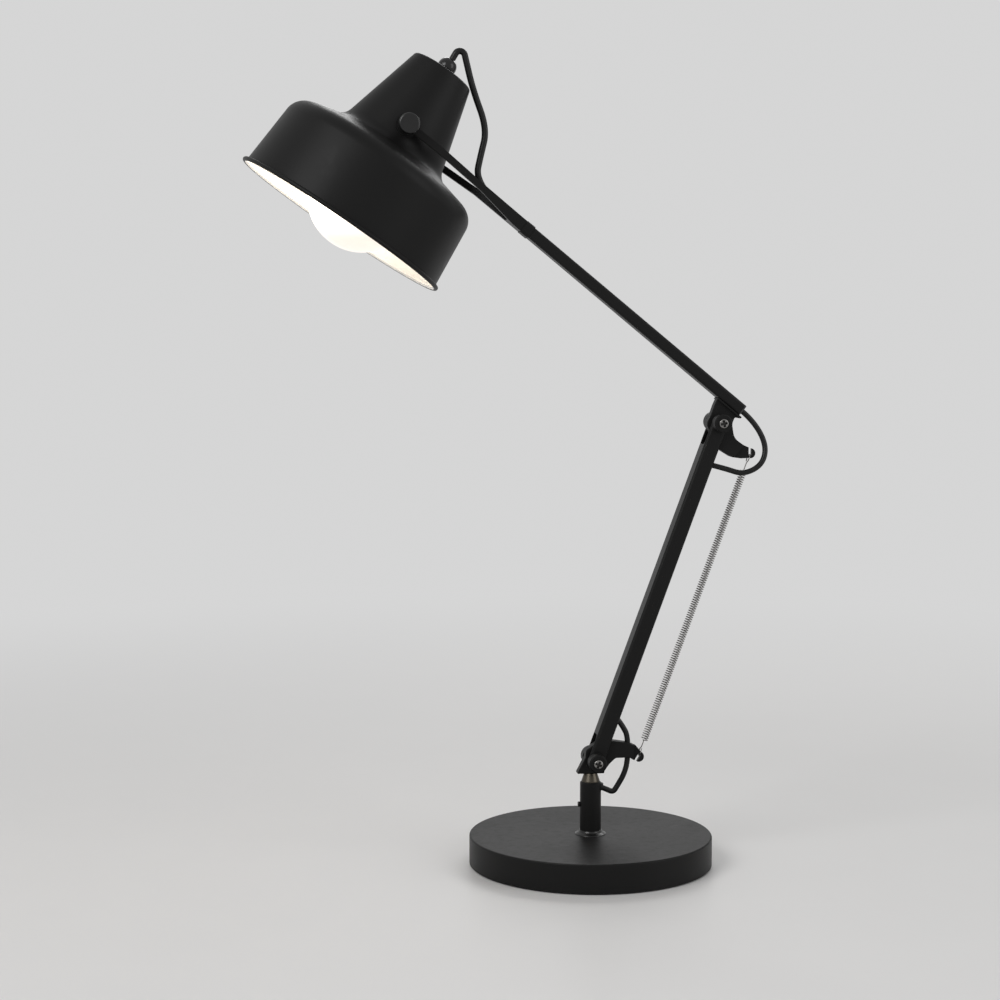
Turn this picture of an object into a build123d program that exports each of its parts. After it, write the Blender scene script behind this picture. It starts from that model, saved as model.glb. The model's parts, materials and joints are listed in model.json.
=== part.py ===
import os
from math import acos, atan2, cos, degrees, pi, radians, sin, sqrt, tan

from build123d import *

os.makedirs("parts", exist_ok=True)

# Spring-balanced desk lamp. +Z up, origin at the centre of the base's underside,
# arms in the XZ plane with the shade towards -X. Millimetres and degrees.

# Fits
running_gap = 0.05  # radial clearance of a shaft that turns in its hole
face_gap = 0.3  # between faces of pieces that move past each other

# Base
base_diameter = 230.0
base_height = 28.0
base_wall = 2.0
base_edge_radius = 1.5
rim_lift = 1.0  # cover's edge above the table
pad_thickness = 1.5
pad_diameter = 214.0
plate_thickness = 1.2
plate_inset = 0.6  # plate's edge inside the cover
weight_thickness = 14.0
weight_side_gap = 3.0  # between the weight and the cover's wall
pillar_diameter = 14.0
pillar_circle = 160.0
plate_screw_diameter = 4.0
plate_screw_head = 8.0
plate_screw_length = 9.0

# Post and its bearing in the base
post_diameter = 20.0
post_bore = 15.0
post_top = 78.4
post_chamfer = 1.0
post_foot = 12.0  # solid length at the foot of the post
stud_diameter = 10.0
stud_bore = 6.5
stud_bush_wall = 2.0
nut_width = 17.0
nut_thickness = 5.0
washer_thickness = 1.5
washer_diameter = 24.0
collar_diameter = 30.0
collar_height = 5.0
collar_rounding = 2.0

post_entry_z = 76.0  # where the axis of the lead's hole meets the post's axis
post_entry_tilt = 20.0

# Neck between the post and the lower bracket
neck_top_diameter = 12.4
neck_foot_diameter = 17.4
neck_foot_thickness = 0.8
neck_plug_length = 26.0
neck_plug_wall = 1.5
neck_thread_diameter = 6.0
neck_thread_length = 5.0
neck_screw_z = 56.5
neck_screw_diameter = 3.0
neck_screw_head = 5.0
neck_screw_head_height = 2.1

# Joint pins, caps and washers, the same at shoulder and elbow
pin_diameter = 6.0
cap_diameter = 17.0
far_cap_diameter = 19.0
cap_length = 12.0
cap_chamfer = 1.0
screw_head_diameter = 8.6
screw_head_height = 2.2
pin_nut_width = 10.0
pin_nut_thickness = 4.0
eye_washer_diameter = 10.4

# Brackets, the two castings with the pivot eyes and the spring horns
eye_thickness = 10.0
horn_tip_thickness = 5.0
notch_width = 3.0
lower_notch = (42.4, 3.2)  # centre of the rounded end, from the shoulder
lower_notch_angle = -121.0  # the way the notch opens
lower_tip = (42.3, 2.2)  # centre of the horn's round tip
lower_tip_radius = 5.0
horn_thin_x = 37.2  # horn is thinned beyond here
upper_notch = (42.7, -3.9)  # from the elbow, along and square to the upper arm
upper_tip = (42.2, -2.9)
upper_tip_radius = 4.7
elbow_thin_x = 32.0
saddle_length = 28.8  # flange that carries the upper arm's tube
saddle_middle = -1.8
casting_chamfer = 0.6
saddle_thickness = 1.6
rivet_places = (-12.5, -3.5)
rivet_diameter = 4.0
rivet_head = 6.0
rivet_head_thickness = 1.1
rivet_depth = 6.0
lower_bracket_bottom = 86.5
shoulder_x = 3.6
shoulder_z = 99.0
horn_lead_x = 32.0  # lead's hole through the lower horn, from the shoulder
horn_hole_diameter = 6.6

# Lower arm
lower_length = 339.5  # shoulder to elbow
lower_lean = 20.15  # from the vertical, at rest
lower_tube_width = 15.0
lower_tube_depth = 22.0
lower_tube_wall = 2.0
lower_tube_rounding = 3.0
front_slot_reach = 48.0  # slot on the spring's side, from the pivot
rear_slot_reach = 24.0
slot_half_width = 8.0

# Upper arm
upper_length = 399.0  # elbow to shade pivot, along the tube
upper_slope = 39.4  # from the horizontal, at rest
elbow_drop = 22.7  # elbow pivot below the tube's axis
upper_tube_width = 11.0
upper_tube_depth = 18.0
upper_tube_wall = 1.5
upper_tube_rounding = 2.6
upper_tube_overhang = 8.4  # tube's end past the elbow pivot
end_plug_length = 8.0
end_plug_lip = 1.2

# Shade fork
fork_half_span = 50.3  # tines' inner faces from the middle
tine_thickness = 4.0
tine_width = 6.4
tine_straight = 34.0
fork_drop = 3.0  # pivot below the upper arm's axis
fork_taper_start = 88.0  # tines deepen from here to the root
fork_crotch = 124.0
fork_root_start = 131.0
fork_shank_end = 140.0
fork_plug_length = 24.0
fork_eye_diameter = 20.0
ferrule_thickness = 0.8
ferrule_length = 9.0

# Shade pivot
boss_diameter = 22.0
boss_face = 50.0  # from the middle
knob_diameter = 19.0
knob_length = 14.0
knob_rounding = 2.0
pivot_pin_start = 45.2  # inside the shade, from the middle
pivot_pin_length = 22.0
fork_washer_diameter = 15.0
fork_washer_thickness = 1.0

# Shade, profile as height above the pivot along its axis and radius
shade_tilt = 34.7
shade_wall = 1.0
crown_height = 64.8
crown_radius = 29.9
crown_rounding = 3.0
waist_height = -21.7
waist_radius = 53.0
waist_rounding = 9.0
shoulder_height = -31.7
shoulder_radius = 96.8
shoulder_rounding = 17.0
rim_height = -103.1
rim_radius = 102.6
bead_radius = 2.0

# Lampholder and bulb
nipple_diameter = 10.0
gland_radius = 8.8
gland_centre = 5.4  # above the crown
gland_nut_thickness = 4.0
holder_diameter = 41.0
gland_top = 7.7  # flat of the gland above its centre
gland_nut_diameter = 16.0
nipple_bore = 7.0
nipple_engagement = 6.0
holder_wall = 2.5
holder_rounding = 6.0
core_top = 24.0
core_bottom = -3.0
holder_top = 48.0
holder_bottom = -6.0
skirt_diameter = 46.0
skirt_length = 12.0
bulb_cap_diameter = 26.4
bulb_cap_bottom = -10.0
bulb_cap_length = 25.0
bulb_cap_taper = 5.0
globe_diameter = 95.0
globe_height = -77.5
globe_neck_radius = 13.6
globe_neck_end = -16.0
glass_wall = 1.0
contact_diameter = 9.0
contact_thickness = 1.5

# Lead
lead_diameter = 5.2
head_lead_diameter = 6.0  # sleeved over its free loop
lead_bore = 5.6  # hole that the lead passes through
grommet_stem = 7.2
grommet_flange = 9.0
grommet_lip = 1.2
supply_gland_z = 8.5
supply_gland_diameter = 11.0
supply_gland_length = 12.0

fold_radius = 6.0  # where the lead is folded sharply beside the post
hump_radius = 5.5  # over the shade's crown
fold_reach = 24.0  # corner of the fold and lead's end, from the post's axis
entry_depth = 4.5
tube_turn = 7.6  # from a slot's mouth to the lead's corner inside the lower arm
slot_lead_reach = 39.7  # where the lead enters the lower arm, from each pivot

# Balance spring
spring_outer_diameter = 6.2
spring_wire = 1.1
spring_curls = 60
hook_radius = 4.0
hook_bend = 2.0
hook_turn = 300.0  # degrees of ring
hook_steps = 4
lower_hook_length = 14.5  # notch to first curl
upper_hook_length = 15.5


def export(piece, name):
    piece.part.label = name
    export_step(piece.part, f"parts/{name}.step")


# Planes. In a side plane x and y lie in the plane of the arms and z points at the viewer.
lean = radians(lower_lean)
slope = radians(upper_slope)
tilt = radians(shade_tilt)
bracket_side = Plane(origin=(shoulder_x, 0, shoulder_z), x_dir=(1, 0, 0), z_dir=(0, -1, 0))
lower_side = Plane(
    origin=(shoulder_x, 0, shoulder_z), x_dir=(cos(lean), 0, -sin(lean)), z_dir=(0, -1, 0)
)
elbow = lower_side.from_local_coords((0, lower_length, 0))
upper_side = Plane(origin=elbow, x_dir=(cos(slope), 0, -sin(slope)), z_dir=(0, -1, 0))
fork_origin = upper_side.from_local_coords((-upper_length, elbow_drop, 0))
fork_side = Plane(origin=fork_origin, x_dir=upper_side.x_dir, z_dir=(0, -1, 0))
shade_pivot = fork_side.from_local_coords((0, -fork_drop, 0))
shade_side = Plane(origin=shade_pivot, x_dir=(cos(tilt), 0, -sin(tilt)), z_dir=(0, -1, 0))
shade_axis = Axis(shade_pivot, shade_side.y_dir)


def across(plane, x, y, depth):
    """Plane square to a side plane's normal, at a depth towards the viewer."""
    return Plane(
        origin=plane.from_local_coords((x, y, depth)), x_dir=plane.x_dir, z_dir=plane.z_dir
    )


# ---------------------------------------------------------------- base
cover_radius = base_diameter / 2
cover_ceiling = base_height - base_wall
plate_top = pad_thickness + plate_thickness
weight_bottom = cover_ceiling - weight_thickness
bush_radius = stud_diameter / 2 + running_gap + stud_bush_wall

with BuildPart() as base_cover:
    with BuildSketch(Plane.XZ) as cover_profile:
        with BuildLine():
            Polyline(
                (bush_radius, cover_ceiling),
                (cover_radius - base_wall, cover_ceiling),
                (cover_radius - base_wall, rim_lift),
                (cover_radius, rim_lift),
                (cover_radius, base_height),
                (bush_radius, base_height),
                close=True,
            )
        make_face()
        top_corner = cover_profile.vertices().sort_by(Axis.Y)[-2:].sort_by(Axis.X)[-1]
        fillet(top_corner, radius=base_edge_radius)
    revolve(axis=Axis.Z)
    with Locations(Plane(origin=(0, cover_radius, supply_gland_z), z_dir=(0, 1, 0))):
        Cylinder(supply_gland_diameter / 2, 4 * base_wall, mode=Mode.SUBTRACT)
export(base_cover, "base_cover")

with BuildPart() as base_weight:
    with BuildSketch(Plane.XY.offset(weight_bottom)):
        Circle(base_diameter / 2 - base_wall - weight_side_gap)
        Circle(bush_radius, mode=Mode.SUBTRACT)
    extrude(amount=weight_thickness)
    with BuildSketch(Plane.XY.offset(plate_top)):
        with PolarLocations(pillar_circle / 2, 3, start_angle=30):
            Circle(pillar_diameter / 2)
    extrude(until=Until.NEXT)
    with BuildSketch(Plane.XY.offset(plate_top)):
        with PolarLocations(pillar_circle / 2, 3, start_angle=30):
            Circle(plate_screw_diameter / 2)
    extrude(amount=plate_screw_length - plate_thickness, mode=Mode.SUBTRACT)
export(base_weight, "base_weight")

with BuildPart() as base_plate:
    with BuildSketch(Plane.XY.offset(pad_thickness)):
        Circle(cover_radius - base_wall - plate_inset)
        with PolarLocations(pillar_circle / 2, 3, start_angle=30):
            Circle(plate_screw_diameter / 2, mode=Mode.SUBTRACT)
    extrude(amount=plate_thickness)
    with BuildSketch(Plane.XY.offset(pad_thickness)):
        with PolarLocations(pillar_circle / 2, 3, start_angle=30):
            Circle(plate_screw_head / 2)
    extrude(amount=plate_thickness / 2, mode=Mode.SUBTRACT)
export(base_plate, "base_plate")

with BuildPart() as plate_screws:
    with BuildSketch(Plane.XY.offset(pad_thickness)):
        with PolarLocations(pillar_circle / 2, 3, start_angle=30):
            Circle(plate_screw_head / 2)
    extrude(amount=plate_thickness / 2)
    with BuildSketch(Plane.XY.offset(pad_thickness)):
        with PolarLocations(pillar_circle / 2, 3, start_angle=30):
            Circle(plate_screw_diameter / 2)
    extrude(amount=plate_screw_length)
export(plate_screws, "plate_screws")

with BuildPart() as base_pad:
    with BuildSketch():
        Circle(pad_diameter / 2)
    extrude(amount=pad_thickness)
export(base_pad, "base_pad")

with BuildPart() as stud_bush:
    with BuildSketch(Plane.XY.offset(weight_bottom)):
        Circle(bush_radius)
        Circle(stud_diameter / 2 + running_gap, mode=Mode.SUBTRACT)
    extrude(amount=base_height - weight_bottom)
export(stud_bush, "stud_bush")

with BuildPart() as post_collar:
    with BuildSketch(Plane.XY.offset(base_height)):
        Circle(collar_diameter / 2)
        Circle(post_diameter / 2 + running_gap, mode=Mode.SUBTRACT)
    extrude(amount=collar_height)
    collar_top = post_collar.faces().sort_by(Axis.Z)[-1]
    fillet(collar_top.outer_wire().edges(), radius=collar_rounding)
export(post_collar, "post_collar")

with BuildPart() as supply_gland:
    with BuildSketch(Plane(origin=(0, cover_radius - 2 * base_wall, supply_gland_z), z_dir=(0, 1, 0))):
        Circle(supply_gland_diameter / 2)
        Circle(lead_bore / 2, mode=Mode.SUBTRACT)
    extrude(amount=supply_gland_length)
    gland_mouth = supply_gland.faces().sort_by(Axis.Y)[-1]
    fillet(gland_mouth.outer_wire().edges(), radius=2.0)
export(supply_gland, "supply_gland")

# ---------------------------------------------------------------- post and neck
post_entry = Plane(
    origin=(0, 0, post_entry_z),
    x_dir=(0, 1, 0),
    z_dir=(cos(radians(post_entry_tilt)), 0, -sin(radians(post_entry_tilt))),
)
stud_nut_top = weight_bottom - washer_thickness - face_gap
stud_bottom = stud_nut_top - nut_thickness

neck_screw_axis = Plane(origin=(0, 0, neck_screw_z), x_dir=(0, 1, 0), z_dir=(-1, 0, 0))
with BuildPart() as post:
    with BuildSketch(Plane.XY.offset(base_height)):
        Circle(post_diameter / 2)
    extrude(amount=post_top - base_height)
    chamfer(post.faces().sort_by(Axis.Z)[-1].edges(), length=post_chamfer)
    with BuildSketch(Plane.XY.offset(base_height + post_foot)):
        Circle(post_bore / 2)
    extrude(amount=post_top - base_height - post_foot, mode=Mode.SUBTRACT)
    with BuildSketch(Plane.XY.offset(base_height)):
        Circle(stud_diameter / 2)
    extrude(amount=post_foot, mode=Mode.SUBTRACT)
    with BuildSketch(post_entry):
        Circle(grommet_stem / 2)
    extrude(amount=post_diameter, mode=Mode.SUBTRACT)
    with BuildSketch(neck_screw_axis):
        Circle(neck_screw_diameter / 2)
    extrude(amount=post_diameter, mode=Mode.SUBTRACT)
export(post, "post")

with BuildPart() as post_stud:
    with BuildSketch(Plane.XY.offset(stud_bottom)):
        Circle(stud_diameter / 2)
        Circle(stud_bore / 2, mode=Mode.SUBTRACT)
    extrude(amount=base_height + post_foot - stud_bottom)
export(post_stud, "post_stud")

with BuildPart() as stud_nut:
    with BuildSketch(Plane.XY.offset(stud_bottom)):
        RegularPolygon(nut_width / 2, 6, major_radius=False)
        Circle(stud_diameter / 2, mode=Mode.SUBTRACT)
    extrude(amount=nut_thickness)
export(stud_nut, "stud_nut")

with BuildPart() as stud_washer:
    with BuildSketch(Plane.XY.offset(stud_nut_top)):
        Circle(washer_diameter / 2)
        Circle(stud_diameter / 2, mode=Mode.SUBTRACT)
    extrude(amount=washer_thickness)
export(stud_washer, "stud_washer")


with BuildPart() as post_grommet:
    with BuildSketch(post_entry.offset(post_bore / 2)):
        Circle(grommet_flange / 2)
    extrude(amount=(post_diameter - post_bore) / 2 + grommet_lip)
    with BuildSketch(Plane.XY.offset(base_height)):
        Circle(post_diameter / 2)
    extrude(amount=post_top - base_height, mode=Mode.SUBTRACT)
    with BuildSketch(post_entry.offset(post_bore / 2 + grommet_lip)):
        Circle(grommet_stem / 2)
    extrude(amount=(post_diameter - post_bore) / 2)
    with BuildSketch(post_entry):
        Circle(lead_bore / 2)
    extrude(amount=post_diameter, mode=Mode.SUBTRACT)
export(post_grommet, "post_grommet")

neck_plug_bottom = post_top - neck_plug_length
neck_bore = post_bore - 2 * neck_plug_wall

with BuildPart() as post_neck:
    with BuildSketch(Plane.XZ):
        with BuildLine():
            Polyline(
                (0, post_top),
                (neck_foot_diameter / 2, post_top),
                (neck_foot_diameter / 2, post_top + neck_foot_thickness),
                (neck_top_diameter / 2, lower_bracket_bottom),
                (neck_thread_diameter / 2, lower_bracket_bottom),
                (neck_thread_diameter / 2, lower_bracket_bottom + neck_thread_length),
                (0, lower_bracket_bottom + neck_thread_length),
                close=True,
            )
        make_face()
    revolve(axis=Axis.Z)
    with BuildSketch(Plane.XY.offset(neck_plug_bottom)):
        Circle(post_bore / 2)
        Circle(neck_bore / 2, mode=Mode.SUBTRACT)
    extrude(amount=neck_plug_length)
    with BuildSketch(post_entry):
        Circle(grommet_flange / 2)
    extrude(amount=post_diameter, mode=Mode.SUBTRACT)
    with BuildSketch(neck_screw_axis):
        Circle(neck_screw_diameter / 2)
    extrude(amount=post_diameter, mode=Mode.SUBTRACT)
export(post_neck, "post_neck")

with BuildPart() as neck_screw:
    with BuildSketch(neck_screw_axis.offset(neck_bore / 2)):
        Circle(neck_screw_diameter / 2)
    extrude(amount=(post_diameter - neck_bore) / 2)
    with BuildSketch(neck_screw_axis.offset(post_diameter / 2)):
        Circle(neck_screw_head / 2)
    extrude(amount=neck_screw_head_height)
    fillet(neck_screw.faces().sort_by(Axis.X)[0].edges(), radius=neck_screw_head_height / 3)
export(neck_screw, "neck_screw")

# ---------------------------------------------------------------- lower bracket
# Outline from the shoulder pivot: foot on the neck, back of the eye, horn and its hook.
foot = lower_bracket_bottom - shoulder_z
lower_outline = [
    (-17.4, foot),
    (8.7, foot),
    (9.0, -10.2),
    (13.6, -3.8),
    (19.6, 1.9),
    (33.0, 1.9),
    (37.5, -0.9),
    (42.3, -2.6),
    (44.9, 6.3),
    (39.2, 13.2),
    (30.4, 16.3),
    (18.0, 18.2),
    (2.0, 17.6),
    (-8.8, 10.0),
    (-9.4, 3.0),
]
lower_roundings = [0.8, 1, 4, 5, 5, 1.5, 1, 0.4, 0.4, 3, 6, 8, 6, 4, 3]

with BuildPart() as lower_bracket:
    with BuildSketch(bracket_side):
        with BuildLine():
            FilletPolyline(lower_outline, radius=lower_roundings, close=True)
        make_face()
        with Locations(lower_tip):
            Circle(lower_tip_radius)
    extrude(amount=eye_thickness / 2, both=True)
    ends = lower_bracket.faces().sort_by(Axis.Y)
    chamfer(ends[0].edges() + ends[-1].edges(), length=casting_chamfer)
    for side in (1, -1):
        with BuildSketch(across(bracket_side, 0, 0, side * horn_tip_thickness / 2)):
            with Locations((horn_thin_x + eye_thickness, 0)):
                Rectangle(2 * eye_thickness, 4 * eye_thickness)
        extrude(amount=side * eye_thickness, mode=Mode.SUBTRACT)
    with BuildSketch(bracket_side):
        Circle(pin_diameter / 2 + running_gap)
        with Locations(lower_notch):
            Circle(notch_width / 2)
            Rectangle(
                eye_thickness, notch_width, rotation=lower_notch_angle, align=(Align.MIN, Align.CENTER)
            )
    extrude(amount=eye_thickness / 2, both=True, mode=Mode.SUBTRACT)
    with BuildSketch(Plane.XY.offset(lower_bracket_bottom)):
        Circle(neck_thread_diameter / 2)
    extrude(amount=neck_thread_length, mode=Mode.SUBTRACT)
    with BuildSketch(Plane(origin=bracket_side.from_local_coords((horn_lead_x, 0, 0)))):
        Circle(horn_hole_diameter / 2)
    extrude(amount=2 * eye_thickness, mode=Mode.SUBTRACT)
export(lower_bracket, "lower_bracket")


def make_eye_washers(plane, name):
    """Two friction washers, one on each side of a bracket's eye."""
    with BuildPart() as washers:
        with BuildSketch(across(plane, 0, 0, eye_thickness / 2)):
            Circle(eye_washer_diameter / 2)
            Circle(pin_diameter / 2 + running_gap, mode=Mode.SUBTRACT)
        extrude(amount=lower_tube_depth / 2 - lower_tube_wall - eye_thickness / 2 - face_gap)
        mirror(about=Plane.XZ)
    export(washers, name)


def make_pivot(plane, name):
    """Bolt, nut and the two round caps that clamp a bracket's eye in the arm."""
    cheek = lower_tube_depth / 2
    cap_end = cheek + cap_length
    with BuildPart() as bolt:
        with BuildSketch(across(plane, 0, 0, -cap_end)):
            Circle(pin_diameter / 2)
        extrude(amount=2 * cap_end)
        with BuildSketch(across(plane, 0, 0, cap_end)):
            Circle(screw_head_diameter / 2)
        extrude(amount=screw_head_height)
        fillet(bolt.faces().sort_by(Axis.Y)[0].edges(), radius=0.8)
    export(bolt, f"{name}_bolt")
    with BuildPart() as nut:
        with BuildSketch(across(plane, 0, 0, -cap_end)):
            RegularPolygon(pin_nut_width / 2, 6, major_radius=False)
            Circle(pin_diameter / 2, mode=Mode.SUBTRACT)
        extrude(amount=pin_nut_thickness)
    export(nut, f"{name}_nut")
    with BuildPart() as near_cap:
        with BuildSketch(across(plane, 0, 0, cheek)):
            Circle(cap_diameter / 2)
            Circle(pin_diameter / 2, mode=Mode.SUBTRACT)
        extrude(amount=cap_length)
        front = near_cap.faces().sort_by(Axis.Y)[0]
        chamfer(front.outer_wire().edges(), length=cap_chamfer)
    export(near_cap, f"{name}_cap_near")
    with BuildPart() as far_cap:
        with BuildSketch(across(plane, 0, 0, -cap_end)):
            Circle(far_cap_diameter / 2)
            Circle(pin_diameter / 2, mode=Mode.SUBTRACT)
        extrude(amount=cap_length)
        with BuildSketch(across(plane, 0, 0, -cap_end)):
            RegularPolygon(pin_nut_width / 2, 6, major_radius=False)
        extrude(amount=pin_nut_thickness, mode=Mode.SUBTRACT)
        back = far_cap.faces().sort_by(Axis.Y)[-1]
        chamfer(back.outer_wire().edges(), length=cap_chamfer)
    export(far_cap, f"{name}_cap_far")


make_eye_washers(bracket_side, "shoulder_washers")
make_pivot(lower_side, "shoulder")

# ---------------------------------------------------------------- lower arm
elbow_end = Plane(origin=elbow, x_dir=lower_side.x_dir, z_dir=(0, -1, 0))
end_radius = lower_tube_width / 2
tube_start = Plane(
    origin=lower_side.from_local_coords((0, -end_radius, 0)),
    x_dir=lower_side.x_dir,
    z_dir=lower_side.y_dir,
)
front_wall = Plane(
    origin=lower_side.from_local_coords((end_radius - lower_tube_wall, 0, 0)),
    x_dir=lower_side.y_dir,
    z_dir=lower_side.x_dir,
)
rear_wall = Plane(
    origin=lower_side.from_local_coords((lower_tube_wall - end_radius, 0, 0)),
    x_dir=lower_side.y_dir,
    z_dir=-lower_side.x_dir,
)

with BuildPart() as lower_arm_tube:
    with BuildSketch(tube_start):
        RectangleRounded(lower_tube_width, lower_tube_depth, lower_tube_rounding)
        RectangleRounded(
            lower_tube_width - 2 * lower_tube_wall,
            lower_tube_depth - 2 * lower_tube_wall,
            lower_tube_rounding - lower_tube_wall,
            mode=Mode.SUBTRACT,
        )
    extrude(amount=lower_length + 2 * end_radius)
    with BuildSketch(lower_side):
        with Locations((0, lower_length / 2)):
            SlotCenterToCenter(lower_length, lower_tube_width, rotation=90)
    extrude(amount=lower_tube_depth, both=True, mode=Mode.INTERSECT)
    for wall, reach in ((front_wall, front_slot_reach), (rear_wall, rear_slot_reach)):
        with BuildSketch(wall):
            with Locations((0, 0), (lower_length, 0)):
                RectangleRounded(2 * reach, 2 * slot_half_width, slot_half_width / 2)
        extrude(amount=2 * lower_tube_wall, mode=Mode.SUBTRACT)
    with BuildSketch(lower_side):
        with Locations((0, 0), (0, lower_length)):
            Circle(pin_diameter / 2)
    extrude(amount=lower_tube_depth, both=True, mode=Mode.SUBTRACT)
export(lower_arm_tube, "lower_arm_tube")

make_pivot(elbow_end, "elbow")

# ---------------------------------------------------------------- elbow bracket
upper_notch_angle = degrees(atan2(cos(slope), -sin(slope)))  # opens straight up at rest
rivet_plane = Plane(
    origin=upper_side.from_local_coords((0, elbow_drop - upper_tube_width / 2, 0)),
    x_dir=upper_side.x_dir,
    z_dir=upper_side.y_dir,
)
# Outline from the elbow pivot, along and square to the upper arm.
tube_underside = elbow_drop - upper_tube_width / 2
elbow_outline = [
    (-16.4, tube_underside),
    (-14.4, 9.7),
    (-11.2, 1.0),
    (-9.0, -9.0),
    (15.0, -19.6),
    (29.5, -17.6),
    (38.0, -12.6),
    (44.2, -7.0),
    (39.9, 0.9),
    (31.0, -1.4),
    (20.5, -2.2),
    (10.2, 7.0),
    (8.2, 13.6),
    (12.6, 15.4),
    (12.6, tube_underside),
]
elbow_roundings = [0.9, 8, 8, 8, 9, 10, 8, 0.4, 0.4, 4, 12, 8, 2, 1, 0.9]

with BuildPart() as elbow_bracket:
    with BuildSketch(upper_side):
        with BuildLine():
            FilletPolyline(elbow_outline, radius=elbow_roundings, close=True)
        make_face()
        with Locations(upper_tip):
            Circle(upper_tip_radius)
    extrude(amount=eye_thickness / 2, both=True)
    ends = elbow_bracket.faces().sort_by(Axis.Y)
    chamfer(ends[0].edges() + ends[-1].edges(), length=casting_chamfer)
    with BuildSketch(upper_side):
        with Locations((saddle_middle, tube_underside - saddle_thickness / 2)):
            Rectangle(saddle_length, saddle_thickness)
    extrude(amount=(upper_tube_depth - upper_tube_wall) / 2, both=True)
    for side in (1, -1):
        with BuildSketch(across(upper_side, 0, 0, side * horn_tip_thickness / 2)):
            with Locations((elbow_thin_x + eye_thickness, 0)):
                Rectangle(2 * eye_thickness, 3 * eye_thickness)
        extrude(amount=side * eye_thickness, mode=Mode.SUBTRACT)
    with BuildSketch(upper_side):
        Circle(pin_diameter / 2 + running_gap)
        with Locations(upper_notch):
            Circle(notch_width / 2)
            Rectangle(
                eye_thickness, notch_width, rotation=upper_notch_angle, align=(Align.MIN, Align.CENTER)
            )
    extrude(amount=eye_thickness / 2, both=True, mode=Mode.SUBTRACT)
    with BuildSketch(rivet_plane):
        with Locations([(place, 0) for place in rivet_places]):
            Circle(rivet_diameter / 2)
    extrude(amount=-rivet_depth, mode=Mode.SUBTRACT)
export(elbow_bracket, "elbow_bracket")
make_eye_washers(upper_side, "elbow_washers")

# ---------------------------------------------------------------- upper arm
tube_inside = (upper_tube_width - 2 * upper_tube_wall, upper_tube_depth - 2 * upper_tube_wall)
inside_rounding = upper_tube_rounding - upper_tube_wall
tube_end = upper_length + upper_tube_overhang


def square_to_arm(distance):
    """Plane square to the upper arm, at a distance from the shade pivot; x is across the arm."""
    return Plane(
        origin=fork_side.from_local_coords((distance, 0, 0)),
        x_dir=fork_side.y_dir,
        z_dir=fork_side.x_dir,
    )


with BuildPart() as upper_arm_tube:
    with BuildSketch(square_to_arm(fork_shank_end)):
        RectangleRounded(upper_tube_width, upper_tube_depth, upper_tube_rounding)
        RectangleRounded(*tube_inside, inside_rounding, mode=Mode.SUBTRACT)
    extrude(amount=tube_end - fork_shank_end)
    with BuildSketch(rivet_plane):
        with Locations([(place, 0) for place in rivet_places]):
            Circle(rivet_diameter / 2)
    extrude(amount=upper_tube_wall, mode=Mode.SUBTRACT)
export(upper_arm_tube, "upper_arm_tube")

with BuildPart() as bracket_rivets:
    with BuildSketch(rivet_plane.offset(-rivet_depth)):
        with Locations([(place, 0) for place in rivet_places]):
            Circle(rivet_diameter / 2)
    extrude(amount=rivet_depth + upper_tube_wall)
    with BuildSketch(rivet_plane.offset(upper_tube_wall)):
        with Locations([(place, 0) for place in rivet_places]):
            Circle(rivet_head / 2)
    extrude(amount=rivet_head_thickness)
export(bracket_rivets, "bracket_rivets")

with BuildPart() as upper_arm_plug:
    with BuildSketch(square_to_arm(tube_end - end_plug_length)):
        RectangleRounded(*tube_inside, inside_rounding)
    extrude(amount=end_plug_length)
    with BuildSketch(square_to_arm(tube_end)):
        RectangleRounded(upper_tube_width, upper_tube_depth, upper_tube_rounding)
    extrude(amount=end_plug_lip)
    with BuildSketch(square_to_arm(tube_end - end_plug_length)):
        Circle(lead_bore / 2)
    extrude(amount=end_plug_length + end_plug_lip, mode=Mode.SUBTRACT)
export(upper_arm_plug, "upper_arm_plug")

with BuildPart() as fork_ferrule:
    with BuildSketch(square_to_arm(fork_shank_end)):
        RectangleRounded(
            upper_tube_width + 2 * ferrule_thickness,
            upper_tube_depth + 2 * ferrule_thickness,
            upper_tube_rounding + ferrule_thickness,
        )
        RectangleRounded(upper_tube_width, upper_tube_depth, upper_tube_rounding, mode=Mode.SUBTRACT)
    extrude(amount=ferrule_length)
export(fork_ferrule, "fork_ferrule")

# Fork: its outline seen from above is cut to its outline seen from the side.
fork_plan = Plane(origin=fork_origin, x_dir=fork_side.x_dir, z_dir=fork_side.y_dir)
fork_outer = fork_half_span + tine_thickness
root_half = upper_tube_depth / 2
bend = atan2(fork_outer - root_half, fork_root_start - tine_straight)
inner_bend = tine_straight - tine_thickness * tan(bend / 2)
crotch_half = fork_half_span - (fork_crotch - inner_bend) * tan(bend)
eye_radius = fork_eye_diameter / 2

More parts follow.
